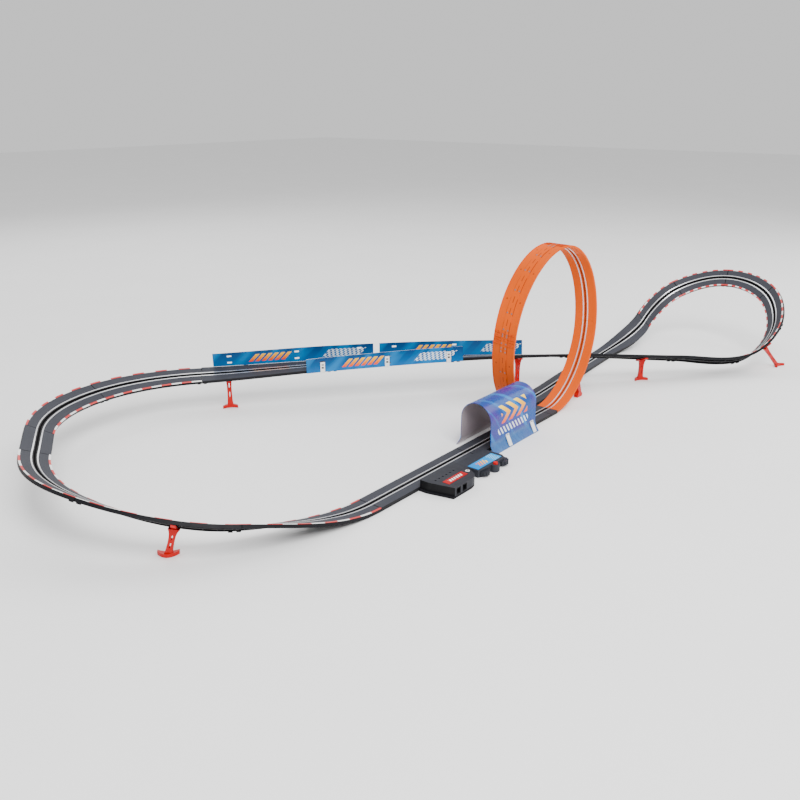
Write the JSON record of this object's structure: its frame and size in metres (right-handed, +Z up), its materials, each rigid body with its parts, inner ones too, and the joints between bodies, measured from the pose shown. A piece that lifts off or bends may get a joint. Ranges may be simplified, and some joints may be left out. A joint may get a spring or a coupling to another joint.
{
  "type": "slot car track set",
  "caption": "Figure-eight slot car track with a vertical loop, a printed tunnel, side walls, banked ends on supports, a control unit and a lap counter.",
  "frame": {"origin": "on the floor, at the middle of the outline of the whole set seen from above", "axes": "+X along the floor-level straight towards the loop, +Y to its left, away from the control unit, +Z up"},
  "size_m": [2.2142, 1.1974, 0.446],
  "materials": {
    "track_plastic": "satin",
    "loop_plastic": "satin",
    "support_plastic": "glossy",
    "clip_plastic": "satin",
    "wall_sheet": "printed sheet",
    "tunnel_sheet": "printed sheet",
    "housing_plastic": "satin",
    "base_plastic": "matte",
    "socket_plastic": "matte",
    "label_print": "glossy print",
    "panel_print": "glossy print",
    "dial_plastic": "satin",
    "button_plastic": "glossy"
  },
  "bodies": {
    "set": {"bridge_closing_piece": "track_plastic", "bridge_straight_1": "track_plastic", "bridge_straight_2": "track_plastic", "bridge_straight_3": "track_plastic", "bridge_straight_4": "track_plastic", "control_base": "base_plastic", "control_cover": "housing_plastic", "control_label": "label_print", "control_straight": "track_plastic", "counter_housing": "housing_plastic", "counter_label": "panel_print", "exit_straight_1": "track_plastic", "exit_straight_2": "track_plastic", "left_curve_1": "track_plastic", "left_curve_2": "track_plastic", "left_curve_3": "track_plastic", "left_curve_4": "track_plastic", "left_curve_5": "track_plastic", "left_short_straight": "track_plastic", "loop_brace": "support_plastic", "loop_entry": "track_plastic", "loop_quarter_1": "loop_plastic", "loop_quarter_2": "loop_plastic", "loop_quarter_3": "loop_plastic", "loop_quarter_4": "loop_plastic", "ramp": "track_plastic", "right_curve_1": "track_plastic", "right_curve_2": "track_plastic", "right_curve_3": "track_plastic", "right_curve_4": "track_plastic", "right_curve_5": "track_plastic", "socket_left": "socket_plastic", "socket_right": "socket_plastic", "support_bridge_end": "support_plastic", "support_bridge_middle": "support_plastic", "support_left_far": "support_plastic", "support_left_near": "support_plastic", "support_right_end": "support_plastic", "tunnel_clip_1": "clip_plastic", "tunnel_clip_2": "clip_plastic", "tunnel_sheet": "tunnel_sheet", "tunnel_straight": "track_plastic", "wall_clip_1": "clip_plastic", "wall_clip_2": "clip_plastic", "wall_clip_3": "clip_plastic", "wall_clip_4": "clip_plastic", "wall_clip_5": "clip_plastic", "wall_clip_6": "clip_plastic", "wall_far_left": "wall_sheet", "wall_far_right": "wall_sheet", "wall_near": "wall_sheet"},
    "dial_left": {"counter_dial_left": "dial_plastic"},
    "dial_right": {"counter_dial_right": "dial_plastic"},
    "button": {"counter_button": "button_plastic"}
  },
  "joints": [
    {"name": "dial_left_turn", "type": "hinge", "parent": "set", "child": "dial_left", "pos_m": [-0.34568, -0.31881, 0.008], "axis": [0, 0, 1], "continuous": true},
    {"name": "dial_right_turn", "type": "hinge", "parent": "set", "child": "dial_right", "pos_m": [-0.27168, -0.31781, 0.008], "axis": [0, 0, 1], "continuous": true},
    {"name": "button_press", "type": "slide", "parent": "set", "child": "button", "axis": [0, 0, -1], "range_m": [0, 0.0015], "stiffness_N_per_m": 150}
  ]
}
